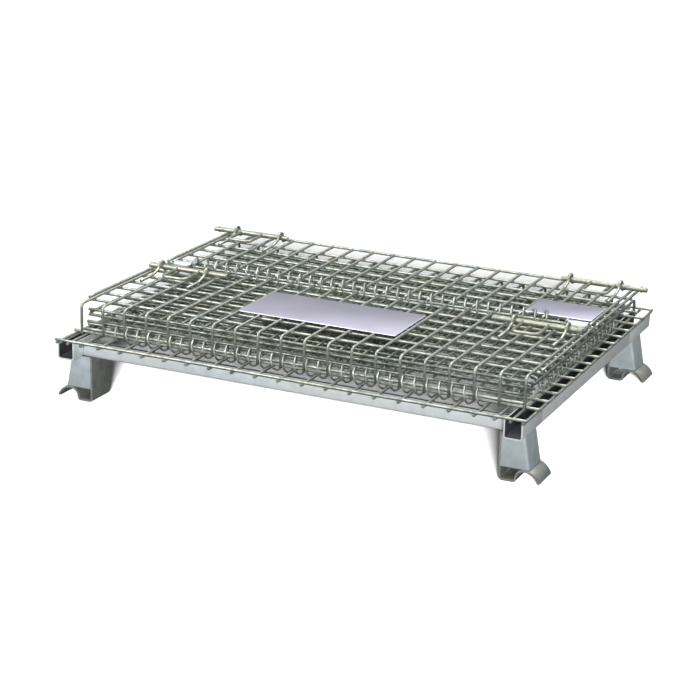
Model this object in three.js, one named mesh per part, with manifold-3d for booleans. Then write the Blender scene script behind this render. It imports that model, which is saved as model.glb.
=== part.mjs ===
// A collapsible wire mesh container, folded flat: millimetres, +Z up, standing on its four feet.
// +X runs along the gate side from left to right, +Y from the gate side to the rear.
import * as THREE from "three";
import { mergeVertices } from "three/addons/utils/BufferGeometryUtils.js";
import Module from "manifold-3d";

// ---- driving dimensions ----
const WIRE = 5.5; // side of the square bar that stands for a 6 mm round wire of the same section
const HALF = WIRE / 2;
const MESH = 50; // pitch of the mesh
const GAP = 0.4; // between pieces that touch on the real container
const SHEET = 3; // thickness of channels and beams

const BASE = { halfX: 500, halfY: 400, frontWireY: 397, meshY: 325, meshX: 400 };
const CROSS_Z = 136; // deck wires along X, the upper layer
const RUNNER_Z = CROSS_Z - WIRE; // deck wires along Y, the lower layer
const RUNNER_EXTRA_X = [440, 470, 495]; // hinge wire, wire in the channel, wire on the channel's edge
const CHANNEL = { inner: 458.5, outer: 493, bottom: 97.5, halfLength: 396, corner: 5 };
const BEAM = { front: 358.5, back: 333.5, bottom: 97.5, halfLength: 456.6, corner: 4 };
const BEAM_TOP = RUNNER_Z - HALF - GAP;
const COIL_SIDE_TOP = 121.5; // walls under a hinge coil stay below it
const FOOT = { depth: 65, front: 360, strip: 4.5, top: 95.6, inner: 440.25, plate: 3.5 };

const MID_HINGE = { y: 23, z: 198 }; // axis of the gate's upper half
const GATE = { runnerZ: 198, crossZ: 192.5, riserY: -336, halfX: 475, edgeX: 487.5, endX: 490.25 };
const REAR = { runnerZ: 171, crossZ: 165.5, riserY: 336, halfX: 475, endX: 481 };
const SIDE = { first: -287.5, count: 12, reach: 650, hingeX: 446 };
const FRONT_EDGE_Y = -300; // the folded panels' edge wires, just behind the gate's bend
const STUB_Z = 134; // lower ends of the bent wires
const HINGE_WIRE_Z = 145; // the panels' lowest wires, inside the hinge coils

const LATCH = { rodZ: 209, rodR: 5.5, inner: 62, outer: 66, width: 60, handleY: 70, bar: 7 };
const LOOP_WIRE = 6.5;
const LOOPS_X = [345, 456];
const LATCHES = [
  { name: "lower", y: -50, handleX: 360 },
  { name: "upper", y: 290, handleX: 388 },
];

// ---- materials ----
const metal = (color, roughness) =>
  new THREE.MeshStandardMaterial({ color, roughness, metalness: 0.85 });
const ZINC_WIRE = metal(0xb7beb4, 0.42);
const DARK_WIRE = metal(0x8f978f, 0.5);
const ZINC_SHEET = metal(0xb3bcc4, 0.48);
const ZINC_ROD = metal(0xc6c6b6, 0.38);
const PLATE = new THREE.MeshStandardMaterial({ color: 0xc6c6d4, roughness: 0.55, metalness: 0.1 });

// ---- solids ----
const wasm = await Module();
wasm.setup();

function solidOf(geometry) {
  const bare = geometry.clone();
  bare.deleteAttribute("normal");
  bare.deleteAttribute("uv");
  const merged = mergeVertices(bare, 1e-4);
  return new wasm.Manifold(
    new wasm.Mesh({
      numProp: 3,
      vertProperties: merged.attributes.position.array,
      triVerts: new Uint32Array(merged.index.array),
    }),
  );
}

function geometryOf(solid) {
  const { vertProperties, triVerts, numProp } = solid.getMesh();
  const geometry = new THREE.BufferGeometry();
  const positions = new Float32Array((vertProperties.length / numProp) * 3);
  for (let i = 0; i * numProp < vertProperties.length; i++) {
    positions.set(vertProperties.subarray(i * numProp, i * numProp + 3), i * 3);
  }
  geometry.setAttribute("position", new THREE.BufferAttribute(positions, 3));
  geometry.setIndex(new THREE.BufferAttribute(triVerts, 1));
  return geometry;
}

// Joins geometries two by two, so that each solid is copied only a few times.
function join(geometries) {
  let solids = geometries.map(solidOf);
  while (solids.length > 1) {
    const joined = [];
    for (let i = 0; i < solids.length; i += 2) {
      joined.push(i + 1 < solids.length ? solids[i].add(solids[i + 1]) : solids[i]);
    }
    solids = joined;
  }
  return geometryOf(solids[0]);
}

const cut = (geometry, tools) =>
  geometryOf(tools.reduce((rest, tool) => rest.subtract(solidOf(tool)), solidOf(geometry)));

const steps = (first, count, pitch = MESH) => Array.from({ length: count }, (_, i) => first + i * pitch);

function box(x0, x1, y0, y1, z0, z1) {
  const geometry = new THREE.BoxGeometry(x1 - x0, y1 - y0, z1 - z0);
  return geometry.translate((x0 + x1) / 2, (y0 + y1) / 2, (z0 + z1) / 2);
}

const wireX = (x0, x1, y, z) => box(x0, x1, y - HALF, y + HALF, z - HALF, z + HALF);
const wireY = (x, y0, y1, z) => box(x - HALF, x + HALF, y0, y1, z - HALF, z + HALF);
const wireZ = (x, y, z0, z1) => box(x - HALF, x + HALF, y - HALF, y + HALF, z0, z1);

const PRISM = { bevelEnabled: false, curveSegments: 8 };

// Extrudes an outline drawn in (X, Z) from y0 to y1.
function extrudeY(shape, y0, y1) {
  const geometry = new THREE.ExtrudeGeometry(shape, { ...PRISM, depth: y1 - y0 });
  const [x, y, z] = [new THREE.Vector3(1, 0, 0), new THREE.Vector3(0, -1, 0), new THREE.Vector3(0, 0, 1)];
  return geometry.applyMatrix4(new THREE.Matrix4().makeBasis(x, z, y)).translate(0, y1, 0);
}

// Extrudes an outline drawn in (Y, Z) from x0 to x1.
function extrudeX(shape, x0, x1) {
  const geometry = new THREE.ExtrudeGeometry(shape, { ...PRISM, depth: x1 - x0 });
  const [x, y, z] = [new THREE.Vector3(1, 0, 0), new THREE.Vector3(0, 1, 0), new THREE.Vector3(0, 0, 1)];
  return geometry.applyMatrix4(new THREE.Matrix4().makeBasis(y, z, x)).translate(x0, 0, 0);
}

// The outline of sheet metal of one thickness, bent along a path.
function bentSheet(path, thickness, divisions = 2) {
  const points = path.getPoints(divisions);
  const left = [];
  const right = [];
  points.forEach((point, i) => {
    const before = points[Math.max(i - 1, 0)];
    const after = points[Math.min(i + 1, points.length - 1)];
    const into = i > 0 ? point.clone().sub(before).normalize() : after.clone().sub(point).normalize();
    const away = i < points.length - 1 ? after.clone().sub(point).normalize() : into;
    const mid = into.clone().add(away).normalize();
    const normal = new THREE.Vector2(-mid.y, mid.x);
    const reach = thickness / 2 / (mid.x * into.x + mid.y * into.y);
    left.push(point.clone().addScaledVector(normal, reach));
    right.unshift(point.clone().addScaledVector(normal, -reach));
  });
  return new THREE.Shape([...left, ...right]);
}

const mirrorX = (shape) => new THREE.Shape(shape.getPoints().map((p) => new THREE.Vector2(-p.x, p.y)));
const mirrorPath = (points, sign) => new THREE.Shape(points.map(([x, z]) => new THREE.Vector2(sign * x, z)));

// A U channel that opens upwards, between two wall centre lines.
function channelPath(low, high, bottom, lowTop, highTop, corner) {
  const path = new THREE.Path();
  path.moveTo(low, lowTop);
  path.lineTo(low, bottom + corner);
  path.absarc(low + corner, bottom + corner, corner, Math.PI, 1.5 * Math.PI, false);
  path.lineTo(high - corner, bottom);
  path.absarc(high - corner, bottom + corner, corner, -0.5 * Math.PI, 0, false);
  path.lineTo(high, highTop);
  return path;
}

// ---- hinge coils ----
const COIL = { pitch: 25, segments: 6, wire: 2.2 };
// Each coil starts where its turns pass between the wires that cross it.
const END_COIL = { y: 331, z: 143.5, radius: 18, start: -408.4 }; // along X, at the front and at the rear
const SIDE_COIL = { x: 447.5, z: 143, radius: 22, start: -231, turns: 19 };

// A helix drawn with straight stretches. place(along, across, up) puts a point in the container's frame.
class Helix extends THREE.Curve {
  constructor(radius, start, turns, phase, place) {
    super();
    Object.assign(this, { radius, start, turns, phase, place });
  }
  angle(t) {
    return this.phase + t * this.turns * 2 * Math.PI;
  }
  getPoint(t) {
    const a = this.angle(t);
    const along = this.start + t * this.turns * COIL.pitch;
    return this.place(along, this.radius * Math.cos(a), this.radius * Math.sin(a));
  }
  getPointAt(t) {
    return this.getPoint(t);
  }
  computeFrenetFrames(segments) {
    const frames = { tangents: [], normals: [], binormals: [] };
    const origin = this.place(0, 0, 0);
    const rise = COIL.pitch / (2 * Math.PI);
    for (let i = 0; i <= segments; i++) {
      const a = this.angle(i / segments);
      const along = [rise, -this.radius * Math.sin(a), this.radius * Math.cos(a)];
      const tangent = this.place(...along).sub(origin).normalize();
      const normal = this.place(0, Math.cos(a), Math.sin(a)).sub(origin).normalize();
      frames.tangents.push(tangent);
      frames.normals.push(normal);
      frames.binormals.push(tangent.clone().cross(normal));
    }
    return frames;
  }
}

function coil(radius, start, turns, phase, place) {
  const corner = (a) => new THREE.Vector2(Math.cos(a), Math.sin(a)).multiplyScalar(COIL.wire);
  const section = new THREE.Shape(steps(0, 3, (2 * Math.PI) / 3).map(corner));
  const extrudePath = new Helix(radius, start, turns, phase, place);
  return new THREE.ExtrudeGeometry(section, { steps: turns * COIL.segments, extrudePath });
}

// The outline of a rolled sleeve.
function ring(x, z, radius, thickness) {
  const outline = new THREE.Shape().absarc(x, z, radius, 0, 2 * Math.PI, false);
  outline.holes.push(new THREE.Path().absarc(x, z, radius - thickness, 0, 2 * Math.PI, true));
  return outline;
}

// ---- the object ----
const container = new THREE.Group();
const SIDES = [
  ["left", -1],
  ["right", 1],
];

function add(name, geometry, material) {
  const mesh = new THREE.Mesh(geometry, material.clone());
  mesh.name = name;
  container.add(mesh);
}

const crossY = [-BASE.frontWireY, ...steps(-BASE.meshY, 14), BASE.frontWireY];

function addDeck() {
  const runnerX = [
    ...RUNNER_EXTRA_X.map((x) => -x).reverse(),
    ...steps(-BASE.meshX, 17),
    ...RUNNER_EXTRA_X,
  ];
  add(
    "deck_mesh",
    join([
      ...crossY.map((y) => wireX(-BASE.halfX, BASE.halfX, y, CROSS_Z)),
      ...runnerX.map((x) => wireY(x, -BASE.halfY, BASE.halfY, RUNNER_Z)),
    ]),
    ZINC_WIRE,
  );
}

function addBaseFrame() {
  const innerTop = CROSS_Z - HALF - GAP + 0.05;
  const { inner, outer, bottom, halfLength, corner } = CHANNEL;
  const outline = bentSheet(channelPath(inner, outer, bottom, innerTop, BEAM_TOP, corner), SHEET);
  // The inner wall is lower beside the hinge coil.
  const notch = box(inner - 4, inner + 4, -290, 250, 120, 140);
  const channel = cut(extrudeY(outline, -halfLength, halfLength), [notch]);
  add("side_channel_right", channel, ZINC_SHEET);
  const flipped = cut(extrudeY(mirrorX(outline), -halfLength, halfLength), [
    notch.clone().translate(-2 * inner, 0, 0),
  ]);
  add("side_channel_left", flipped, ZINC_SHEET);
  const half = (BEAM.front - BEAM.back) / 2;
  const beamAt = (y, frontTop, rearTop) =>
    bentSheet(channelPath(y - half, y + half, BEAM.bottom, frontTop, rearTop, BEAM.corner), SHEET);
  const beam = (...where) => extrudeX(beamAt(...where), -BEAM.halfLength, BEAM.halfLength);
  const centre = (BEAM.front + BEAM.back) / 2;
  add("front_beam", beam(-centre, BEAM_TOP, COIL_SIDE_TOP), ZINC_SHEET);
  // Its ends are cut down, so that the side hinge coils pass over them.
  const ends = [-1, 1].map((sign) => box(-30, 30, -20, 20, 117.5, 130).translate(sign * 447, 0, 0));
  add("middle_beam", cut(beam(0, BEAM_TOP, BEAM_TOP), ends), ZINC_SHEET);
  add("rear_beam", beam(centre, COIL_SIDE_TOP, BEAM_TOP), ZINC_SHEET);
}

// The foot's strip: inner wall, pad, saddle arch and outer lip, for the right-hand side.
function footStrip() {
  const [padZ, bend, archX] = [FOOT.strip / 2, 6, 489];
  const path = new THREE.Path();
  path.moveTo(FOOT.inner, FOOT.top);
  path.lineTo(FOOT.inner, padZ + bend);
  path.absarc(FOOT.inner + bend, padZ + bend, bend, Math.PI, 1.5 * Math.PI, false);
  path.lineTo(466, padZ);
  path.absarc(466, padZ + bend, bend, -0.5 * Math.PI, 0, false);
  path.absarc(archX, padZ + bend, archX - 472, Math.PI, 0.5 * Math.PI, true);
  path.absarc(archX, -4.75, 30, 0.5 * Math.PI, 0.095 * Math.PI, true);
  return bentSheet(path, FOOT.strip);
}

// The tapered box over the arch: front, outer and back plates in one bent sheet.
function footBox(sign, y0, y1) {
  const [inner, topX, lowX, low] = [FOOT.inner + FOOT.strip / 2 + GAP, 486, 499, 28];
  const outline = [
    [inner, low],
    [lowX, low],
    [topX, FOOT.top],
    [inner, FOOT.top],
  ];
  const hollow = [
    [inner - 10, low - 10],
    [lowX + 2 - FOOT.plate, low - 10],
    [topX - 2 - FOOT.plate, FOOT.top + 10],
    [inner - 10, FOOT.top + 10],
  ];
  return cut(extrudeY(mirrorPath(outline, sign), y0, y1), [
    extrudeY(mirrorPath(hollow, sign), y0 + FOOT.plate, y1 - FOOT.plate),
  ]);
}

function addFeet() {
  const strip = footStrip();
  for (const [end, y0] of [
    ["front", -FOOT.front],
    ["rear", FOOT.front - FOOT.depth],
  ]) {
    for (const [side, sign] of SIDES) {
      const outline = sign > 0 ? strip : mirrorX(strip);
      add(`foot_strip_${end}_${side}`, extrudeY(outline, y0, y0 + FOOT.depth), ZINC_SHEET);
      add(`foot_box_${end}_${side}`, footBox(sign, y0, y0 + FOOT.depth), ZINC_SHEET);
    }
  }
}

const gateX = steps(-GATE.halfX, 20);

// The gate's lower half: it rises from the front hinge, bends back and lies over the folded panels.
function addLowerGate() {
  const lastCross = MID_HINGE.y - 10;
  const top = GATE.runnerZ + HALF;
  const end = lastCross + 3;
  const crosses = [...steps(-285, 6), lastCross].map((y) => wireX(-GATE.endX, GATE.endX, y, GATE.crossZ));
  const risers = gateX.map((x) => wireZ(x, GATE.riserY, STUB_Z, top));
  const runners = gateX.map((x) => wireY(x, GATE.riserY - HALF, end, GATE.runnerZ));
  const hingeWire = wireX(-470, 470, GATE.riserY + WIRE, HINGE_WIRE_Z);
  const edges = [-GATE.edgeX, GATE.edgeX].map((x) => wireY(x, -288, end, GATE.runnerZ));
  add("lower_gate", join([...crosses, ...risers, ...runners, hingeWire, ...edges]), ZINC_WIRE);
  add("large_label_plate", box(-170, 170, -236, -82, top + GAP, top + GAP + 1.5), PLATE);
}

function addUpperGate() {
  const firstCross = MID_HINGE.y + 10;
  const [start, end] = [firstCross - 3, 317];
  const top = GATE.runnerZ + HALF;
  const crosses = [firstCross, ...steps(64, 5)].map((y) => wireX(-GATE.endX, GATE.endX, y, GATE.crossZ));
  const runners = [-GATE.edgeX, ...gateX, GATE.edgeX].map((x) => wireY(x, start, end, GATE.runnerZ));
  const edge = wireX(-GATE.endX, GATE.endX, end, GATE.runnerZ);
  add("upper_gate", join([...crosses, ...runners, edge]), ZINC_WIRE);
  add("small_label_plate", box(332, 472, 45, 140, top + GAP, top + GAP + 1.5), PLATE);
}

function addRearPanel() {
  const top = REAR.runnerZ + HALF;
  const crosses = [
    ...[FRONT_EDGE_Y, ...steps(-214, 6, 100)].map((y) => wireX(-REAR.endX, REAR.endX, y, REAR.crossZ)),
    wireX(-REAR.endX, REAR.endX, FRONT_EDGE_Y, REAR.runnerZ + WIRE),
  ];
  const rearX = [...steps(-REAR.halfX, 10, 2 * MESH), REAR.halfX];
  const risers = rearX.map((x) => wireZ(x, REAR.riserY, STUB_Z, top));
  const runners = rearX.map((x) => wireY(x, FRONT_EDGE_Y - 3, REAR.riserY + HALF, REAR.runnerZ));
  const hingeWire = wireX(-REAR.endX, REAR.endX, REAR.riserY - WIRE, HINGE_WIRE_Z);
  add("rear_panel", join([...crosses, ...risers, ...runners, hingeWire]), DARK_WIRE);
}

const sideCrossY = steps(SIDE.first, SIDE.count);

// The left panel lies lowest, flat from its hinge wire inwards.
function addLeftPanel() {
  const [z, inner] = [145, -SIDE.hingeX + SIDE.reach];
  const y1 = sideCrossY.at(-1) + 3;
  const crossAt = [...sideCrossY.filter((y, i) => i % 2 === 0), sideCrossY.at(-1)];
  const crosses = crossAt.map((y) => wireX(-SIDE.hingeX - 3, inner + 3, y, z + WIRE));
  const runnerX = [-SIDE.hingeX, ...steps(-SIDE.hingeX + 50, 6, 100), inner];
  const runners = runnerX.map((x) => wireY(x, FRONT_EDGE_Y - 3, y1, z));
  const edge = wireX(-485, 470, FRONT_EDGE_Y, z + WIRE); // it steadies the folded panels
  add("left_panel", join([...crosses, ...runners, edge]), DARK_WIRE);
}

// The right panel lies on the left one, so its wires step up from the hinge.
function addRightPanel() {
  const [z, stepX, inner] = [157.5, 450, SIDE.hingeX - SIDE.reach];
  const [y0, y1] = [SIDE.first - 3, sideCrossY.at(-1) + 3];
  const crosses = sideCrossY.map((y) => wireX(inner - 3, stepX + HALF, y, z + WIRE));
  const risers = sideCrossY.map((y) => wireZ(stepX, y, 144.25, z + WIRE + HALF));
  const runners = [...steps(SIDE.hingeX - 50, 6, -100), inner].map((x) => wireY(x, y0, y1, z));
  const hingeWire = wireY(stepX - WIRE, y0, y1, 148);
  add("right_panel", join([...crosses, ...risers, ...runners, hingeWire]), DARK_WIRE);
}

function addHinges() {
  const bottom = -Math.PI / 2;
  const { y: endY, z: endZ, radius: endRadius, start } = END_COIL;
  const front = (x, u, v) => new THREE.Vector3(x, -endY + u, endZ + v);
  const rear = (x, u, v) => new THREE.Vector3(x, endY - u, endZ + v);
  const middle = (x, u, v) => new THREE.Vector3(x, MID_HINGE.y + u, MID_HINGE.z + v);
  add("front_hinge_coil", coil(endRadius, start, 32, bottom, front), ZINC_WIRE);
  add("rear_hinge_coil", coil(endRadius, start, 32, bottom, rear), DARK_WIRE);
  add("mid_hinge_coil", coil(19.2, -425 + 6.25, 33, 0, middle), ZINC_WIRE);
  for (const [side, sign] of SIDES) {
    const x = sign * SIDE_COIL.x;
    const place = (y, u, v) => new THREE.Vector3(x + sign * u, y, SIDE_COIL.z + v);
    const { radius, start: sideStart, turns } = SIDE_COIL;
    add(`${side}_hinge_coil`, coil(radius, sideStart, turns, 0, place), DARK_WIRE);
    add(`${side}_hinge_sleeve`, extrudeY(ring(x, SIDE_COIL.z, 21, 1.6), -270, -242), ZINC_SHEET);
    // This one is rolled round the upper half's first wire.
    const rolled = ring(MID_HINGE.y + 10, GATE.crossZ, 9, 1.5);
    add(`mid_hinge_sleeve_${side}`, extrudeX(rolled, sign * 450 - 20.5, sign * 450 + 20.5), ZINC_SHEET);
  }
}

// A bolt: a round rod with a bent handle and a cross pin, drawn for the right-hand side.
function bolt(sign, y, handleX) {
  const { rodZ, rodR, inner, outer, width, handleY, bar } = LATCH;
  const [x0, x1] = [handleX - inner, handleX + width + outer];
  const rod = new THREE.CylinderGeometry(rodR, rodR, x1 - x0, 8).rotateY(Math.PI / 8).rotateZ(Math.PI / 2);
  rod.translate((sign * (x0 + x1)) / 2, y, rodZ);
  const span = (a, b, ...rest) => box(Math.min(sign * a, sign * b), Math.max(sign * a, sign * b), ...rest);
  const level = [rodZ - bar / 2, rodZ + bar / 2];
  return join([
    rod,
    span(handleX, handleX + bar, y - handleY, y, ...level),
    span(handleX + width - bar, handleX + width, y - handleY, y, ...level),
    span(handleX, handleX + width, y - handleY, y - handleY + bar, ...level),
    span(x1 - 15, x1 - 11, y - 2, y + 2, rodZ - 7.5, rodZ + 7.5),
  ]);
}

// A guide loop: its legs lie on the cross wires, and it arches over the rod.
function loop(x, y) {
  const half = LOOP_WIRE / 2;
  const low = GATE.crossZ + HALF + GAP;
  const high = LATCH.rodZ + LATCH.rodR + 1.5 + LOOP_WIRE;
  const reach = LATCH.rodR + 1.5 + half;
  const along = (y0, y1, z) => box(x - half, x + half, y0, y1, z - half, z + half);
  const upright = (at) => box(x - half, x + half, at - half, at + half, low, high);
  return join([
    along(y - 88, y - reach, low + half),
    upright(y - reach),
    along(y - reach, y + reach, high - half),
    upright(y + reach),
    along(y + reach, y + 22, low + half),
  ]);
}

function addLatches() {
  for (const { name, y, handleX } of LATCHES) {
    for (const [side, sign] of SIDES) {
      add(`latch_bolt_${name}_${side}`, bolt(sign, y, handleX), ZINC_ROD);
      add(`latch_loop_${name}_${side}_inner`, loop(sign * LOOPS_X[0], y), ZINC_ROD);
      add(`latch_loop_${name}_${side}_outer`, loop(sign * LOOPS_X[1], y), ZINC_ROD);
    }
  }
}

addDeck();
addBaseFrame();
addFeet();
addLeftPanel();
addRightPanel();
addRearPanel();
addLowerGate();
addUpperGate();
addHinges();
addLatches();

export default container;
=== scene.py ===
"""A collapsible wire mesh container, folded flat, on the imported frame: metres, +Z up."""

import math

import bmesh
import bpy
import numpy as np
from mathutils import Matrix, Vector


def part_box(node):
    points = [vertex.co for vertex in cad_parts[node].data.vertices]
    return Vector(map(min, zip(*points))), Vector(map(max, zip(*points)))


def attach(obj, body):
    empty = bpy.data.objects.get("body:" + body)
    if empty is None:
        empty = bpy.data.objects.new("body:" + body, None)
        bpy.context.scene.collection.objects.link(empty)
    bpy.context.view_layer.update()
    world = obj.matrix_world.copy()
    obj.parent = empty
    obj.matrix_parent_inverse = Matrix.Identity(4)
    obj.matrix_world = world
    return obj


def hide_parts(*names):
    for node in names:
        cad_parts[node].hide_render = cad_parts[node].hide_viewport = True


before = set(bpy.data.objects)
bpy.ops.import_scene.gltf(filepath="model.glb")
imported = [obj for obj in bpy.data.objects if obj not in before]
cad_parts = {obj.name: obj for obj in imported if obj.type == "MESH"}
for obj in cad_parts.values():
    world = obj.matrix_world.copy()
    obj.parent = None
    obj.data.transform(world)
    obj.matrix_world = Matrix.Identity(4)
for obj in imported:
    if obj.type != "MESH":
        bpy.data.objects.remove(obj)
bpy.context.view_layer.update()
rng = np.random.default_rng(7)

MM = 0.001
PITCH = 50 * MM
WIRE_R = 3.0 * MM
LAYER = 5.5 * MM  # crossing wires sink into each other a little where they are welded
COIL_R = 2.0 * MM
COIL_PITCH = 25 * MM
SIDES = 10  # facets round a wire
SAG_LENGTH = 0.11  # how far along a wire its waver takes to turn by one radian
BEVEL_ANGLE = math.radians(40)
SHARP_ANGLE = math.radians(38)
SHEET_T = 3 * MM
SHEET_BEND = 4.5 * MM


# ---- materials ----
def value_noise(nodes, links, coords, scale, detail=4.0, rough=0.55):
    """Noise between 0 and 1, mostly near the middle."""
    node = nodes.new("ShaderNodeTexNoise")
    node.inputs["Scale"].default_value = scale
    node.inputs["Detail"].default_value = detail
    node.inputs["Roughness"].default_value = rough
    links.new(coords, node.inputs["Vector"])
    return node.outputs["Fac"]


def ramp(nodes, links, source, stops):
    """A colour from a number, through (position, colour) stops."""
    node = nodes.new("ShaderNodeValToRGB")
    ramp_stops = node.color_ramp.elements
    while len(ramp_stops) < len(stops):
        ramp_stops.new(0.5)
    for element, (position, colour) in zip(ramp_stops, stops):
        element.position = position
        element.color = (*colour, 1.0)
    links.new(source, node.inputs["Fac"])
    return node.outputs["Color"]


def mix(nodes, links, factor, a, b):
    """A blend from a to b; each of the three may be a socket or a plain value."""
    node = nodes.new("ShaderNodeMix")
    node.data_type = "RGBA"
    for socket, given in ((node.inputs["Factor"], factor), (node.inputs["A"], a), (node.inputs["B"], b)):
        if isinstance(given, bpy.types.NodeSocket):
            links.new(given, socket)
        elif isinstance(given, tuple):
            socket.default_value = (*given, 1.0)
        else:
            socket.default_value = given
    return node.outputs["Result"]


def spread(nodes, links, source, low, high, out_low, out_high):
    """A number moved from one range to another, and held at its ends."""
    node = nodes.new("ShaderNodeMapRange")
    node.inputs["From Min"].default_value = low
    node.inputs["From Max"].default_value = high
    node.inputs["To Min"].default_value = out_low
    node.inputs["To Max"].default_value = out_high
    links.new(source, node.inputs["Value"])
    return node.outputs["Result"]


def zinc(
    name, light, dark, tint, tint_share, rough=(0.3, 0.5), grain=260.0, patch=9.0, bump=0.12, metallic=0.9
):
    """Galvanised steel: blotches from dark to light, a tint that drifts over them, and fine grain."""
    material = bpy.data.materials.new(name)
    material.use_nodes = True
    nodes, links = material.node_tree.nodes, material.node_tree.links
    shader = nodes["Principled BSDF"]
    coords = nodes.new("ShaderNodeTexCoord").outputs["Object"]
    blotch = value_noise(nodes, links, coords, grain * 0.35)
    colour = ramp(nodes, links, blotch, [(0.36, dark), (0.62, light)])
    drift = spread(nodes, links, value_noise(nodes, links, coords, patch), 0.4, 0.65, 0.0, tint_share)
    colour = mix(nodes, links, drift, colour, tint)
    fine = value_noise(nodes, links, coords, grain, 6.0, 0.7)
    colour = mix(nodes, links, 0.25, colour, ramp(nodes, links, fine, [(0.3, dark), (0.7, light)]))
    links.new(colour, shader.inputs["Base Color"])
    links.new(spread(nodes, links, blotch, 0.3, 0.7, rough[1], rough[0]), shader.inputs["Roughness"])
    shader.inputs["Metallic"].default_value = metallic
    relief = nodes.new("ShaderNodeBump")
    relief.inputs["Strength"].default_value = bump
    relief.inputs["Distance"].default_value = 0.3 * MM
    links.new(fine, relief.inputs["Height"])
    links.new(relief.outputs["Normal"], shader.inputs["Normal"])
    return material


WIRE = zinc("wire_zinc", (0.66, 0.7, 0.655), (0.24, 0.275, 0.255), (0.56, 0.52, 0.38), 0.5, metallic=0.97)
# Painted shade: the same zinc as the gate wire, darker, for the panels folded under the gate where the
# stack is in shade.
FOLDED_WIRE_PAINTED_SHADE = zinc(
    "folded_wire_painted_shade", (0.43, 0.48, 0.45), (0.1, 0.13, 0.12), (0.42, 0.37, 0.24), 0.55, metallic=0.97
)
COIL = zinc("coil_zinc", (0.66, 0.7, 0.66), (0.26, 0.29, 0.275), (0.5, 0.47, 0.35), 0.4, metallic=0.97)
WELD = zinc("weld_spot", (0.34, 0.33, 0.28), (0.12, 0.12, 0.11), (0.45, 0.38, 0.25), 0.5, (0.5, 0.75))
SHEET = zinc(
    "sheet_zinc", (0.66, 0.705, 0.72), (0.52, 0.56, 0.58), (0.66, 0.64, 0.6), 0.5,
    rough=(0.4, 0.55), grain=120, patch=5, bump=0.08, metallic=0.84,
)
# Painted shade: a near-black copy of the sheet zinc for the inner faces of the U channels and beams,
# where shade falls; its bluish patches are painted reflection.
PAINTED_SHADE_INSIDE = zinc(
    "sheet_inside_painted_shade", (0.1, 0.105, 0.12), (0.035, 0.035, 0.035), (0.13, 0.15, 0.19), 0.6,
    rough=(0.5, 0.65), grain=60, patch=6,
)
FOOT = zinc(
    "foot_zinc", (0.5, 0.56, 0.59), (0.36, 0.42, 0.45), (0.48, 0.5, 0.44), 0.5,
    rough=(0.4, 0.55), grain=120, patch=8, bump=0.08, metallic=0.86,
)
LIP = zinc(
    "foot_strip_zinc", (0.38, 0.395, 0.37), (0.22, 0.24, 0.24), (0.42, 0.39, 0.28), 0.6,
    rough=(0.42, 0.6), grain=160, patch=9, bump=0.1, metallic=0.92,
)
ROD = zinc(
    "rod_zinc", (0.6, 0.615, 0.54), (0.28, 0.295, 0.26), (0.56, 0.52, 0.37), 0.5,
    rough=(0.28, 0.45), metallic=0.97,
)


def plate_material():
    """A blank plate: pale mauve coating with faint clouding and fine scratches."""
    material = bpy.data.materials.new("label_plate_coating")
    material.use_nodes = True
    nodes, links = material.node_tree.nodes, material.node_tree.links
    shader = nodes["Principled BSDF"]
    coords = nodes.new("ShaderNodeTexCoord").outputs["Object"]
    cloud = value_noise(nodes, links, coords, 14.0)
    colour = ramp(nodes, links, cloud, [(0.3, (0.36, 0.35, 0.43)), (0.7, (0.41, 0.395, 0.48))])
    stretch = nodes.new("ShaderNodeMapping")
    stretch.inputs["Scale"].default_value = (4.0, 160.0, 4.0)
    links.new(coords, stretch.inputs["Vector"])
    scratch = value_noise(nodes, links, stretch.outputs["Vector"], 6.0, 8.0, 0.7)
    marks = spread(nodes, links, scratch, 0.66, 0.74, 0.0, 0.3)
    links.new(mix(nodes, links, marks, colour, (0.44, 0.44, 0.5)), shader.inputs["Base Color"])
    links.new(spread(nodes, links, cloud, 0.3, 0.7, 0.42, 0.55), shader.inputs["Roughness"])
    shader.inputs["Metallic"].default_value = 0.0
    return material


PLATE = plate_material()


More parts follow.
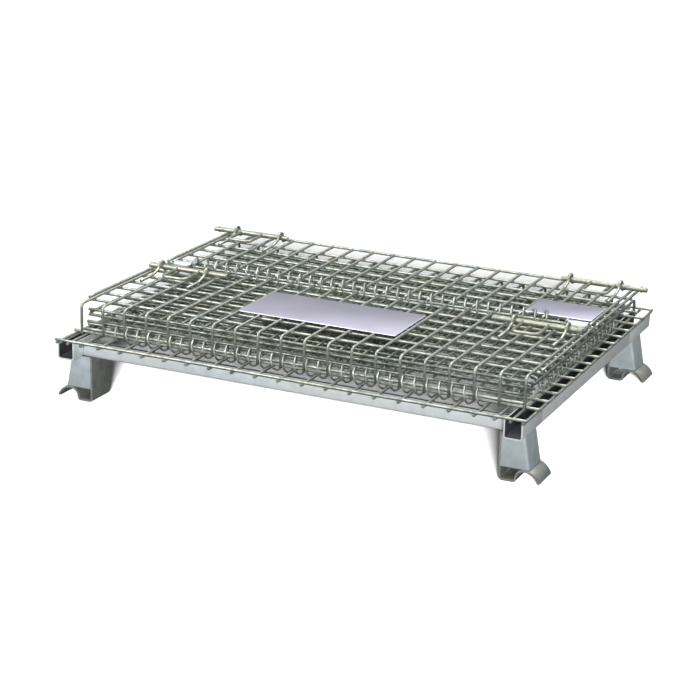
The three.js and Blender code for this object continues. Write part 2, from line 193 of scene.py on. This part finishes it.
# ---- mesh building ----
class Builder:
    """Collects tubes, spots and sheets into one mesh."""

    def __init__(self):
        self.points = []
        self.faces = []
        self.slots = []
        self.count = 0

    def add(self, points, faces, slot=0):
        """Points and faces of one shape; slot is the place of its material in the piece's list."""
        self.points.append(np.asarray(points, float))
        self.faces += [tuple(i + self.count for i in face) for face in faces]
        self.slots += [slot] * len(faces)
        self.count += len(points)

    def tube(self, path, radius, sides=SIDES):
        """A round wire along a path, with slightly rounded cut ends."""
        path = np.asarray(path, float)
        steps = np.diff(path, axis=0)
        steps /= np.linalg.norm(steps, axis=1)[:, None]
        tangents = np.vstack([steps[:1], steps[:-1] + steps[1:], steps[-1:]])
        tangents /= np.linalg.norm(tangents, axis=1)[:, None]
        lead = min(0.35 * radius, 0.3 * np.linalg.norm(path[1] - path[0]))
        after_start, before_end = path[:1] + steps[:1] * lead, path[-1:] - steps[-1:] * lead
        path = np.vstack([path[:1], after_start, path[1:-1], before_end, path[-1:]])
        tangents = np.vstack([tangents[:1], tangents[:1], tangents[1:-1], tangents[-1:], tangents[-1:]])
        radii = np.full(len(path), radius)
        radii[[0, -1]] = radius * 0.72
        normal = np.cross(tangents[0], [0.31, 0.17, 0.93])
        rings = []
        turn = np.arange(sides) * 2 * math.pi / sides
        for centre, tangent, r in zip(path, tangents, radii):
            normal = normal - tangent * normal.dot(tangent)
            normal /= np.linalg.norm(normal)
            side = np.cross(tangent, normal)
            rings.append(centre + r * (np.cos(turn)[:, None] * normal + np.sin(turn)[:, None] * side))
        faces = [tuple(range(sides))[::-1], tuple((len(path) - 1) * sides + k for k in range(sides))]
        for i in range(len(path) - 1):
            for k in range(sides):
                a, b = i * sides + k, i * sides + (k + 1) % sides
                faces.append((a, b, b + sides, a + sides))
        self.add(np.vstack(rings), faces)

    def spot(self, centre, size):
        """A weld spot: a small flattened bead, in the second material."""
        rings, sides = 4, 8
        points = [(0, 0, -1)]
        for i in range(1, rings):
            a = math.pi * i / rings
            for k in range(sides):
                b = 2 * math.pi * k / sides
                points.append((math.sin(a) * math.cos(b), math.sin(a) * math.sin(b), -math.cos(a)))
        points.append((0, 0, 1))
        faces = [(0, 1 + (k + 1) % sides, 1 + k) for k in range(sides)]
        for i in range(rings - 2):
            for k in range(sides):
                a, b = 1 + i * sides + k, 1 + i * sides + (k + 1) % sides
                faces.append((a, b, b + sides, a + sides))
        last = 1 + (rings - 1) * sides
        faces += [(last, last - sides + k, last - sides + (k + 1) % sides) for k in range(sides)]
        self.add(np.array(points) * size + np.asarray(centre), faces, 1)

    def sheet(self, outline, low, high, axes, inside=None):
        """A closed outline swept between two levels of a third axis.

        inside is the half of the outline, 0 or 1, that takes the second material; on the frame sheets
        that is the painted shade of the inner faces.
        """
        u, v, w = axes
        points = []
        for level in (low, high):
            for a, b in outline:
                point = [0.0, 0.0, 0.0]
                point[u], point[v], point[w] = a, b, level
                points.append(point)
        n = len(outline)
        faces = swept_faces(n)
        self.add(points, faces)
        if inside is not None:
            first = len(self.slots) - len(faces) + inside * n // 2
            for i in range(first, first + n // 2 - 1):
                self.slots[i] = 1

    def piece(self, name, body, nodes, slot, materials, bevel=0.0):
        """Makes the object, with its sharp edges bevelled, and says what it rides on and replaces."""
        mesh = bpy.data.meshes.new(name)
        mesh.from_pydata(np.vstack(self.points).tolist(), [], self.faces)
        for material in materials:
            mesh.materials.append(material)
        mesh.polygons.foreach_set("material_index", self.slots)
        shape = bmesh.new()
        shape.from_mesh(mesh)
        bmesh.ops.recalc_face_normals(shape, faces=shape.faces)
        if bevel:
            paired = [e for e in shape.edges if len(e.link_faces) == 2]
            sharp = [e for e in paired if e.calc_face_angle() > BEVEL_ANGLE]
            bmesh.ops.bevel(shape, geom=sharp, offset=bevel, segments=2, affect="EDGES", profile=0.6)
        shape.to_mesh(mesh)
        shape.free()
        made = bpy.data.objects.new(name, mesh)
        bpy.context.scene.collection.objects.link(made)
        mesh.shade_smooth()
        mesh.set_sharp_from_angle(angle=SHARP_ANGLE)
        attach(made, body)
        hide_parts(*nodes)


def swept_faces(n):
    """Faces between two rings of n points, and the two caps."""
    faces = [(i, (i + 1) % n, (i + 1) % n + n, i + n) for i in range(n)]
    return [*faces, tuple(range(n))[::-1], tuple(range(n, 2 * n))]


def rounded(corners, radius, steps=6):
    """A path with its inner corners turned into arcs."""
    corners = [np.asarray(c, float) for c in corners]
    path = [corners[0]]
    for before, corner, after in zip(corners, corners[1:], corners[2:]):
        a = (before - corner) / np.linalg.norm(before - corner)
        b = (after - corner) / np.linalg.norm(after - corner)
        half = math.acos(np.clip(a.dot(b), -1, 1)) / 2
        reach = radius / math.tan(half)
        centre = corner + (a + b) / np.linalg.norm(a + b) * radius / math.sin(half)
        start, end = corner + a * reach - centre, corner + b * reach - centre
        sweep = math.pi - 2 * half
        for i in range(steps + 1):
            t = i / steps
            turned = start * math.sin((1 - t) * sweep) + end * math.sin(t * sweep)
            path.append(centre + turned / math.sin(sweep))
    path.append(corners[-1])
    return path


def span(first, last):
    """Places from first to last at the mesh pitch."""
    count = round(abs(last - first) / PITCH) + 1
    return np.linspace(first, last, count)


def wavy(path, amount=0.35 * MM):
    """The same wire, a little out of true between its welds."""
    path = np.asarray(path, float)
    length = np.linalg.norm(path[-1] - path[0])
    phase = rng.uniform(0, 2 * math.pi, 3)
    along = np.linspace(0, 1, len(path))[:, None]
    return path + amount * np.sin(along * length / SAG_LENGTH + phase) * np.sin(math.pi * along)


def straight(start, end, amount=0.35 * MM):
    count = max(2, round(np.linalg.norm(np.subtract(end, start)) / (PITCH / 2)) + 1)
    return wavy(np.linspace(start, end, count), amount)


def bent(corners, radius=9 * MM):
    """A wire bent at its inner corners, with points along its straight parts."""
    path = rounded(corners, radius)
    dense = [path[0]]
    for a, b in zip(path, path[1:]):
        parts = max(1, round(np.linalg.norm(b - a) / PITCH))
        dense += [a + (b - a) * (i + 1) / parts for i in range(parts)]
    return wavy(dense, 0.3 * MM)


def weld_grid(build, xs, ys, z):
    """A weld spot at every crossing, each of its own size."""
    size, wide, high = 2.6 * MM, 1.25, 0.9
    for x in xs:
        for y in ys:
            grow = rng.uniform(0.8, 1.15)
            build.spot((x, y, z), (size * grow * wide, size * grow * wide, size * high))


def helix(centre, radius, start, turns, phase, place):
    """Points of a coil; place(along, u, v) gives the row frame."""
    steps = 20
    points = []
    for i in range(turns * steps + 1):
        angle = phase + 2 * math.pi * i / steps
        along = start + COIL_PITCH * i / steps
        points.append(place(along, radius * math.cos(angle), radius * math.sin(angle)))
    return np.array(points) + np.array(centre)


# ---- sizes taken from the frame ----
deck_low, deck_high = (np.array(v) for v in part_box("deck_mesh"))
CROSS_Z = deck_high[2] - LAYER / 2
RUNNER_Z = CROSS_Z - LAYER
gate_low, gate_high = (np.array(v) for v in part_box("lower_gate"))
upper_low, upper_high = (np.array(v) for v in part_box("upper_gate"))
GATE_Z = gate_high[2] - LAYER / 2
RISER_Y = gate_low[1] + LAYER / 2
STUB_Z = gate_low[2]
HINGE_WIRE_Z = 145 * MM  # the wire of the gate and of the rear panel that runs inside the coil
FRONT_EDGE_Y = -300 * MM  # front edges of the folded rear and left panels
END_COIL_Y, END_COIL_Z, END_COIL_R = 331 * MM, 143.5 * MM, 15.5 * MM
SIDE_COIL_X, SIDE_COIL_Z, SIDE_COIL_R = 447.5 * MM, 143 * MM, 20 * MM
MID_COIL_Y, MID_COIL_Z, MID_COIL_R = 23 * MM, 198 * MM, 17.3 * MM
CHANNEL_NOTCH = (-290 * MM, 250 * MM, 120 * MM)  # from, to, and the height of the wall beside a side coil
BEAM_LOW_WALL = 121.5 * MM  # the wall of an end beam that faces a coil
MIDDLE_NOTCH_X, MIDDLE_NOTCH_Z = 417 * MM, 117.5 * MM  # the middle beam's ends, under the side coils
LABELS = (("large_label_plate", "lower_gate"), ("small_label_plate", "upper_gate"))
ROD_Z, ROD_R, HANDLE_R = 209 * MM, 5.5 * MM, 3.5 * MM
HANDLE_WIDTH = 60 * MM
GATE_X = span(-475 * MM, 475 * MM)
EDGE_X = gate_high[0] - LAYER / 2


def wire_x(build, x0, x1, y, z):
    build.tube(straight((x0, y, z), (x1, y, z)), WIRE_R)


def wire_y(build, x, y0, y1, z):
    build.tube(straight((x, y0, z), (x, y1, z)), WIRE_R)


# ---- base ----
def make_deck():
    build = Builder()
    edge_y = deck_high[1] - WIRE_R - 0.9 * MM
    cross_y = [-edge_y, *span(-325 * MM, 325 * MM), edge_y]
    extra = [v * MM for v in (440, 470, 495)]
    runner_x = [*(-v for v in extra[::-1]), *span(-400 * MM, 400 * MM), *extra]
    for y in cross_y:
        wire_x(build, deck_low[0], deck_high[0], y, CROSS_Z)
    for x in runner_x:
        wire_y(build, x, deck_low[1], deck_high[1], RUNNER_Z)
    weld_grid(build, runner_x, cross_y, (CROSS_Z + RUNNER_Z) / 2)
    build.piece("deck_mesh_wires", "base", ["deck_mesh"], "mesh_wire", [WIRE, WELD])


def bent_outline(corners, thickness, radius):
    """The outline of a bent sheet, from the corners of the line through its middle."""
    line = np.array([p[:2] for p in rounded([(*c, 0.0) for c in corners], radius)])
    return offset_outline(line, thickness / 2)


def offset_outline(line, half):
    """The outline that stands half a thickness to each side of a line."""
    into = np.diff(line, axis=0)
    into /= np.linalg.norm(into, axis=1)[:, None]
    mids = np.vstack([into[:1], into[:-1] + into[1:], into[-1:]])
    mids /= np.linalg.norm(mids, axis=1)[:, None]
    normals = np.stack([-mids[:, 1], mids[:, 0]], axis=1) * half
    return [*(line + normals).tolist(), *(line - normals)[::-1].tolist()]


def frame_piece(build, name):
    # The second material is painted shade on the inner faces of the channels and beams.
    build.piece(f"{name}_sheet", "base", [name], "frame_sheet", [SHEET, PAINTED_SHADE_INSIDE], bevel=0.4 * MM)


def make_side_channels():
    """U channels whose inner wall is lower beside the side coil."""
    notch_start, notch_end, low_wall = CHANNEL_NOTCH
    half = SHEET_T / 2
    for side, sign in (("left", -1), ("right", 1)):
        name = f"side_channel_{side}"
        low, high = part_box(f"side_channel_{side}")
        build = Builder()
        inner = min(abs(low[0]), abs(high[0])) + half
        outer = max(abs(low[0]), abs(high[0])) - half
        top = RUNNER_Z - LAYER / 2 - 0.3 * MM
        corners = [(inner, high[2]), (inner, low[2] + half), (outer, low[2] + half), (outer, top)]
        stretches = [
            (low[1], notch_start, high[2]),
            (notch_start, notch_end, low_wall),
            (notch_end, high[1], high[2]),
        ]
        for y0, y1, wall in stretches:
            corners[0] = (inner, wall)
            outline = bent_outline([(sign * x, z) for x, z in corners], SHEET_T, SHEET_BEND)
            build.sheet(outline, y0, y1, (0, 2, 1), inside=0 if sign > 0 else 1)
        frame_piece(build, name)


def make_beams():
    """U beams: an end beam is lower beside its coil, the middle one at its ends."""
    half = SHEET_T / 2
    for name in ("front_beam", "rear_beam", "middle_beam"):
        low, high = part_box(name)
        build = Builder()
        corners = [(low[1] + half, high[2]), (low[1] + half, low[2] + half)]
        corners += [(high[1] - half, low[2] + half), (high[1] - half, high[2])]
        stretches = [(low[0], high[0])]
        if name == "middle_beam":
            outline = bent_outline(corners, SHEET_T, SHEET_BEND)
            build.sheet(outline, -MIDDLE_NOTCH_X, MIDDLE_NOTCH_X, (1, 2, 0), inside=0)
            corners[0], corners[3] = (corners[0][0], MIDDLE_NOTCH_Z), (corners[3][0], MIDDLE_NOTCH_Z)
            stretches = [sorted((sign * MIDDLE_NOTCH_X, sign * high[0])) for sign in (-1, 1)]
        else:
            coil_side = 3 if name == "front_beam" else 0
            corners[coil_side] = (corners[coil_side][0], BEAM_LOW_WALL)
        for x0, x1 in stretches:
            build.sheet(bent_outline(corners, SHEET_T, SHEET_BEND), x0, x1, (1, 2, 0), inside=0)
        frame_piece(build, name)


def arc(x, z, radius, start, end, count):
    return [(x + radius * math.cos(a), z + radius * math.sin(a)) for a in np.linspace(start, end, count)]


def foot_line():
    """Middle line of the foot strip in (X, Z): inner wall, pad, saddle arch, outer lip."""
    top, inner, half = 95.6, 440.25, 2.25
    corner_r, rise_r, arch_r = 6.0, 17.0, 30.0
    pad_end, saddle_x = 466.0, 489.0
    turn_z = half + corner_r
    points = [(inner, top), (inner, turn_z)]
    points += arc(inner + corner_r, turn_z, corner_r, math.pi, 1.5 * math.pi, 9)
    points += arc(pad_end, turn_z, corner_r, -math.pi / 2, 0, 9)
    points += arc(saddle_x, turn_z, rise_r, math.pi, math.pi / 2, 13)
    points += arc(saddle_x, turn_z + rise_r - arch_r, arch_r, math.pi / 2, 0.095 * math.pi, 15)
    clean = [points[0]]
    for point in points[1:]:
        if math.dist(point, clean[-1]) > 0.05:
            clean.append(point)
    return np.array(clean) * MM, half * MM


def make_feet():
    line, half = foot_line()
    for end in ("front", "rear"):
        for side, sign in (("left", -1), ("right", 1)):
            strip, box = f"foot_strip_{end}_{side}", f"foot_box_{end}_{side}"
            low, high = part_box(strip)
            build = Builder()
            outline = [(sign * x, z) for x, z in offset_outline(line, half)]
            build.sheet(outline, low[1], high[1], (0, 2, 1))
            build.piece(f"{strip}_sheet", "base", [strip], "foot_sheet", [LIP], bevel=0.5 * MM)
            make_foot_box(box, sign)


def make_foot_box(name, sign):
    """Front, outer and back plates, bent from one sheet and welded to the strip."""
    low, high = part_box(name)
    inner = min(abs(low[0]), abs(high[0]))
    lower_x = max(abs(low[0]), abs(high[0]))
    upper_x = lower_x - 13 * MM
    thickness, bend = 3.5 * MM, 4 * MM
    half = thickness / 2
    build = Builder()
    y0, y1 = low[1] + half, high[1] - half
    rings = []
    for z, outer in ((low[2], lower_x), (high[2], upper_x)):
        corners = [(inner, y0), (outer - half, y0), (outer - half, y1), (inner, y1)]
        outline = bent_outline(corners, thickness, bend)
        rings.append([(sign * x, y, z) for x, y in outline])
    build.add([*rings[0], *rings[1]], swept_faces(len(rings[0])))
    seam_x = sign * (inner - 0.2 * MM)
    for y in (low[1] + 0.6 * MM, high[1] - 0.6 * MM):
        bead(build, (seam_x, y, low[2]), (seam_x, y, high[2] - 2 * MM))
    build.piece(f"{name}_sheet", "base", [name], "foot_sheet", [FOOT, WELD], bevel=0.4 * MM)


def bead(build, start, end):
    """A run of weld: overlapping spots."""
    size = 1.1 * MM
    start, end = np.array(start), np.array(end)
    count = max(2, int(np.linalg.norm(end - start) / (1.5 * size)))
    for i in range(count + 1):
        grow = rng.uniform(0.75, 1.05)
        build.spot(start + (end - start) * i / count, np.full(3, size * grow))


# ---- folded panels ----
def make_rear_panel():
    low, high = (np.array(v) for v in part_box("rear_panel"))
    build = Builder()
    top, riser = high[2] - LAYER * 1.5, high[1] - LAYER / 2
    for x in GATE_X:
        build.tube(bent([(x, riser, low[2]), (x, riser, top), (x, low[1], top)]), WIRE_R)
    ys = [FRONT_EDGE_Y, *span(-214 * MM, 286 * MM)]
    for y in ys:
        wire_x(build, low[0], high[0], y, top - LAYER)
    wire_x(build, low[0], high[0], FRONT_EDGE_Y, top + LAYER)
    wire_x(build, low[0], high[0], riser - LAYER, HINGE_WIRE_Z)
    weld_grid(build, GATE_X, ys, top - LAYER / 2)
    build.piece("rear_panel_wires", "base", ["rear_panel"], "mesh_wire", [FOLDED_WIRE_PAINTED_SHADE, WELD])


def make_left_panel(ys):
    low, high = (np.array(v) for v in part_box("left_panel"))
    build = Builder()
    z = low[2] + LAYER / 2
    hinge_x, edge_x, tail = -446 * MM, 204 * MM, 3 * MM
    xs = span(hinge_x, edge_x)
    for y in ys:
        wire_x(build, hinge_x - tail, edge_x + tail, y, z + LAYER)
    wire_x(build, low[0], high[0], FRONT_EDGE_Y, z + LAYER)
    for x in xs:
        wire_y(build, x, low[1], high[1], z)
    weld_grid(build, xs, ys, z + LAYER / 2)
    build.piece("left_panel_wires", "base", ["left_panel"], "mesh_wire", [FOLDED_WIRE_PAINTED_SHADE, WELD])


def make_right_panel(ys):
    low, high = (np.array(v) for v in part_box("right_panel"))
    build = Builder()
    top, riser = high[2] - LAYER / 2, high[0] - LAYER / 2
    hinge_z = 148 * MM
    xs = span(low[0] + 3 * MM, 396 * MM)
    for y in ys:
        build.tube(bent([(riser, y, low[2]), (riser, y, top), (low[0], y, top)], 8 * MM), WIRE_R)
    for x in xs:
        wire_y(build, x, low[1], high[1], top - LAYER)
    wire_y(build, riser - LAYER, low[1], high[1], hinge_z)
    weld_grid(build, xs, ys, top - LAYER / 2)
    build.piece("right_panel_wires", "base", ["right_panel"], "mesh_wire", [FOLDED_WIRE_PAINTED_SHADE, WELD])


def make_side_panels():
    ys = span(-287.5 * MM, 262.5 * MM)
    make_left_panel(ys)
    make_right_panel(ys)


# ---- gate ----
def make_lower_gate():
    build = Builder()
    last = gate_high[1]
    ys = [*span(-285 * MM, -35 * MM), last - 3 * MM]
    for x in GATE_X:
        build.tube(bent([(x, RISER_Y, STUB_Z), (x, RISER_Y, GATE_Z), (x, last, GATE_Z)]), WIRE_R)
    for x in (-EDGE_X, EDGE_X):
        wire_y(build, x, -288 * MM, last, GATE_Z)
    for y in ys:
        wire_x(build, gate_low[0], gate_high[0], y, GATE_Z - LAYER)
    wire_x(build, -470 * MM, 470 * MM, RISER_Y + LAYER, HINGE_WIRE_Z)
    for x in GATE_X[1:-1]:
        build.spot((x, RISER_Y + LAYER / 2, HINGE_WIRE_Z), (3.2 * MM, 2.3 * MM, 3.2 * MM))
    weld_grid(build, [-EDGE_X, *GATE_X, EDGE_X], ys, GATE_Z - LAYER / 2)
    build.piece("lower_gate_wires", "lower_gate", ["lower_gate"], "mesh_wire", [WIRE, WELD])


def make_upper_gate():
    build = Builder()
    first, last = upper_low[1], upper_high[1] - LAYER / 2
    ys = [first + 3 * MM, *span(64 * MM, 264 * MM)]
    xs = [-EDGE_X, *GATE_X, EDGE_X]
    for x in xs:
        wire_y(build, x, first, last, GATE_Z)
        build.spot((x, last - 2.4 * MM, GATE_Z), (3.6 * MM, 2.2 * MM, 3.1 * MM))
    wire_x(build, upper_low[0], upper_high[0], last, GATE_Z)
    for y in ys:
        wire_x(build, upper_low[0], upper_high[0], y, GATE_Z - LAYER)
    weld_grid(build, xs, ys, GATE_Z - LAYER / 2)
    build.piece("upper_gate_wires", "upper_gate", ["upper_gate"], "mesh_wire", [WIRE, WELD])


def make_plates():
    for name, body in LABELS:
        low, high = (np.array(v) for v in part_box(name))
        build = Builder()
        outline = [(low[0], low[1]), (high[0], low[1]), (high[0], high[1]), (low[0], high[1])]
        outline = [p[:2] for p in rounded_loop(outline, 3 * MM)]
        build.sheet(outline, low[2], high[2], (0, 1, 2))
        build.piece(f"{name}_blank", body, [name], "label_plate", [PLATE], bevel=0.3 * MM)


def rounded_loop(corners, radius):
    """A closed outline with round corners."""
    start = [(a + b) / 2 for a, b in zip(corners[-1], corners[0])]
    path = rounded([(*start, 0.0), *[(*c, 0.0) for c in corners], (*start, 0.0)], radius, 5)
    return path[:-1]


# ---- hinges ----
def make_coil(name, body, node, centre, radius, start, turns, phase, place):
    build = Builder()
    build.tube(helix(centre, radius, start, turns, phase, place), COIL_R, 8)
    build.piece(name, body, [node], "coil_wire", [COIL])


def make_hinges():
    bottom = -math.pi / 2
    start, turns = -408.4 * MM, 32
    make_coil("front_hinge_coil_wire", "base", "front_hinge_coil", (0, -END_COIL_Y, END_COIL_Z),
              END_COIL_R, start, turns, bottom, lambda a, u, v: (a, u, v))
    make_coil("rear_hinge_coil_wire", "base", "rear_hinge_coil", (0, END_COIL_Y, END_COIL_Z),
              END_COIL_R, start, turns, bottom, lambda a, u, v: (a, -u, v))
    make_coil("mid_hinge_coil_wire", "lower_gate", "mid_hinge_coil", (0, MID_COIL_Y, MID_COIL_Z),
              MID_COIL_R, (-425 + 6.25) * MM, 33, 0.0, lambda a, u, v: (a, u, v))
    for side, sign in (("left", -1), ("right", 1)):
        coil, centre = f"{side}_hinge_coil", (sign * SIDE_COIL_X, 0, SIDE_COIL_Z)
        make_coil(f"{coil}_wire", "base", coil, centre,
                  SIDE_COIL_R, -231 * MM, 19, 0.0, lambda a, u, v, s=sign: (s * u, a, v))
        make_sleeve(f"{side}_hinge_sleeve", "base", 1, math.pi * (0.5 + sign * 0.42))
        make_sleeve(f"mid_hinge_sleeve_{side}", "upper_gate", 0, -math.pi / 2)


def make_sleeve(name, body, axis, slit):
    """Sheet rolled into a ring along an axis; slit is the angle where its ends meet."""
    wall, half_gap = 1.6 * MM, 0.08
    low, high = (np.array(v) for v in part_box(name))
    u, v = [i for i in range(3) if i != axis]
    centre, radius = (low + high) / 2, (high[u] - low[u]) / 2
    outline = []
    angles = slit + np.linspace(half_gap, 2 * math.pi - half_gap, 33)
    for r, run in ((radius, angles), (radius - wall, angles[::-1])):
        outline += [(centre[u] + r * math.cos(a), centre[v] + r * math.sin(a)) for a in run]
    build = Builder()
    build.sheet(outline, low[axis], high[axis], (u, v, axis))
    build.piece(f"{name}_rolled", body, [name], "frame_sheet", [SHEET], bevel=0.35 * MM)


# ---- latches ----
def make_bolt(name, body, sign, y, handle_x):
    """A rod with a D handle and a cross pin near its outer end."""
    low, high = (np.array(v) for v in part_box(name))
    build = Builder()
    build.tube(straight((low[0], y, ROD_Z), (high[0], y, ROD_Z), 0.0), ROD_R, 16)
    near, far = handle_x + HANDLE_R, handle_x + HANDLE_WIDTH - HANDLE_R
    front = low[1] + HANDLE_R
    handle = [(near, y, ROD_Z), (near, front, ROD_Z), (far, front, ROD_Z), (far, y, ROD_Z)]
    build.tube(rounded([(sign * a, b, c) for a, b, c in handle], 10 * MM, 8), HANDLE_R, 12)
    for x in (near, far):
        build.spot((sign * x, y - 3.4 * MM, ROD_Z), (4.6 * MM, 3.4 * MM, 4.6 * MM))
    rod_beyond, pin_inset, pin_half = 66 * MM, 13 * MM, 7.3 * MM
    pin_x = sign * (handle_x + HANDLE_WIDTH + rod_beyond - pin_inset)
    build.tube([(pin_x, y, ROD_Z - pin_half), (pin_x, y, ROD_Z + pin_half)], 2 * MM, 10)
    build.piece(f"{name}_rod", body, [name], "latch_rod", [ROD, WELD])


def make_loop(name, body, y):
    """A guide loop: from the mesh it slants up to the rod, arches over it and comes down behind."""
    low, high = (np.array(v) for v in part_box(name))
    x = (low[0] + high[0]) / 2
    r = 3.25 * MM
    leg, top = low[2] + r, high[2] - r
    reach, slant, drop = 10.25 * MM, 30 * MM, 12 * MM
    corners = [(x, low[1], leg), (x, y - reach - slant, leg), (x, y - reach - 2 * MM, top - drop)]
    corners += [(x, y - reach, top), (x, y + reach, top), (x, y + reach, leg), (x, high[1], leg)]
    build = Builder()
    build.tube(rounded_mixed(corners, [14 * MM, 9 * MM, 7 * MM, 8 * MM, 5 * MM]), r, 12)
    for weld_y in (low[1] + 3 * MM, y - reach - slant - 6 * MM, high[1] - 3 * MM):
        build.spot((x, weld_y, leg - 2.3 * MM), (3.6 * MM, 3.6 * MM, 1.2 * MM))
    build.piece(f"{name}_wire", body, [name], "latch_rod", [ROD, WELD])


def rounded_mixed(corners, radii):
    """As rounded(), with a radius for each corner."""
    path = [np.asarray(corners[0], float)]
    for i, radius in enumerate(radii):
        path += rounded(corners[i : i + 3], radius)[1:-1]
    path.append(np.asarray(corners[-1], float))
    return path


def make_latches():
    for half, y, handle_x in (("lower", -50 * MM, 360 * MM), ("upper", 290 * MM, 388 * MM)):
        for side, sign in (("left", -1), ("right", 1)):
            make_bolt(f"latch_bolt_{half}_{side}", f"bolt_{half}_{side}", sign, y, handle_x)
            for place in ("inner", "outer"):
                make_loop(f"latch_loop_{half}_{side}_{place}", f"{half}_gate", y)


make_deck()
make_side_channels()
make_beams()
make_feet()
make_rear_panel()
make_side_panels()
make_lower_gate()
make_upper_gate()
make_plates()
make_hinges()
make_latches()


# ---- stage ----
ROOM_FRONT = [  # colour by height, from straight down to straight up, on the gate's side
    (0.3, (0.05, 0.055, 0.055)),
    (0.44, (0.3, 0.32, 0.32)),
    (0.53, (1.05, 1.08, 1.08)),
    (0.68, (0.5, 0.52, 0.51)),
    (0.88, (1.1, 1.1, 1.06)),
]
ROOM_REAR = [
    (0.3, (0.05, 0.05, 0.055)),
    (0.48, (0.13, 0.14, 0.145)),
    (0.6, (0.28, 0.3, 0.3)),
    (0.88, (1.0, 1.0, 0.97)),
]
AMBIENT = (0.04, 0.043, 0.046)


def make_floor():
    """A plain white floor, kept out of the reflections."""
    mesh = bpy.data.meshes.new("floor")
    reach = 40.0
    corners = [(-reach, -reach, 0), (reach, -reach, 0), (reach, reach, 0), (-reach, reach, 0)]
    mesh.from_pydata(corners, [], [(0, 1, 2, 3)])
    floor = bpy.data.objects.new("floor", mesh)
    bpy.context.scene.collection.objects.link(floor)
    material = bpy.data.materials.new("floor_white")
    material.use_nodes = True
    shader = material.node_tree.nodes["Principled BSDF"]
    shader.inputs["Base Color"].default_value = (0.9, 0.9, 0.9, 1)
    shader.inputs["Roughness"].default_value = 0.9
    shader.inputs["Specular IOR Level"].default_value = 0.1
    mesh.materials.append(material)
    floor.visible_glossy = False


def direction_to(azimuth, elevation):
    """A unit vector; azimuth turns from straight in front of the gate side towards +X."""
    level = math.cos(elevation)
    return Vector((math.sin(azimuth) * level, -math.cos(azimuth) * level, math.sin(elevation)))


def make_sun(azimuth, elevation, spread_angle, strength):
    """A low soft sun from the front right, not seen in the metal: the shadow falls behind."""
    data = bpy.data.lights.new("sun", "SUN")
    data.energy = strength
    data.angle = math.radians(spread_angle)
    sun = bpy.data.objects.new("sun", data)
    toward = direction_to(math.radians(azimuth), math.radians(elevation))
    sun.rotation_mode = "QUATERNION"
    sun.rotation_quaternion = toward.to_track_quat("Z", "Y")
    sun.visible_glossy = False
    bpy.context.scene.collection.objects.link(sun)


def make_light(name, place, aim, size, power):
    """A softbox that is seen in the metal and leaves the floor alone."""
    data = bpy.data.lights.new(name, "AREA")
    data.shape = "RECTANGLE"
    data.size, data.size_y = size
    data.energy = power
    light = bpy.data.objects.new(name, data)
    light.location = place
    light.rotation_mode = "QUATERNION"
    light.rotation_quaternion = (Vector(aim) - Vector(place)).to_track_quat("-Z", "Y")
    light.visible_diffuse = False
    bpy.context.scene.collection.objects.link(light)


def make_world():
    """White behind the object, a dim ambient, and in reflections a studio that is brighter in front."""
    world = bpy.data.worlds.new("studio")
    bpy.context.scene.world = world
    world.use_nodes = True
    nodes, links = world.node_tree.nodes, world.node_tree.links
    background = nodes["Background"]
    direction = nodes.new("ShaderNodeTexCoord").outputs["Generated"]
    split = nodes.new("ShaderNodeSeparateXYZ")
    links.new(direction, split.inputs["Vector"])
    height = spread(nodes, links, split.outputs["Z"], -1.0, 1.0, 0.0, 1.0)
    rear = spread(nodes, links, split.outputs["Y"], -0.5, 0.6, 0.0, 1.0)
    front_room, rear_room = (ramp(nodes, links, height, stops) for stops in (ROOM_FRONT, ROOM_REAR))
    room = mix(nodes, links, rear, front_room, rear_room)
    path = nodes.new("ShaderNodeLightPath").outputs
    lit = mix(nodes, links, path["Is Diffuse Ray"], room, AMBIENT)
    links.new(mix(nodes, links, path["Is Camera Ray"], lit, (1.0, 1.0, 1.0)), background.inputs["Color"])
    background.inputs["Strength"].default_value = 1.0


def make_camera():
    """The fixed camera: it looks along minus back, rolled a little, and stands a little off centre."""
    azimuth, elevation, roll = math.radians(24.6), math.radians(18.0), math.radians(1.4)
    distance, aside, above = 4.0375, -0.0277, 0.0753
    lens, sensor = 99.03, 36.0
    back = direction_to(azimuth, elevation)
    level = Vector((math.cos(azimuth), math.sin(azimuth), 0))
    upright = back.cross(level)
    right = level * math.cos(roll) + upright * math.sin(roll)
    up = upright * math.cos(roll) - level * math.sin(roll)
    data = bpy.data.cameras.new("camera")
    data.lens, data.sensor_width = lens, sensor
    camera = bpy.data.objects.new("camera", data)
    camera.rotation_mode = "QUATERNION"
    camera.rotation_quaternion = Matrix((right, up, back)).transposed().to_quaternion()
    camera.location = back * distance + right * aside + up * above
    bpy.context.scene.collection.objects.link(camera)
    bpy.context.scene.camera = camera


make_floor()
make_world()
make_light("key", (-2.4, -2.8, 3.2), (0, 0, 0.15), (2.0, 2.0), 60)
make_light("top", (0.6, 1.2, 3.4), (0, 0, 0.15), (2.4, 2.4), 60)
make_sun(24.6, 16.5, 10.0, 15.0)
make_camera()
bpy.context.scene.view_settings.view_transform = "Standard"
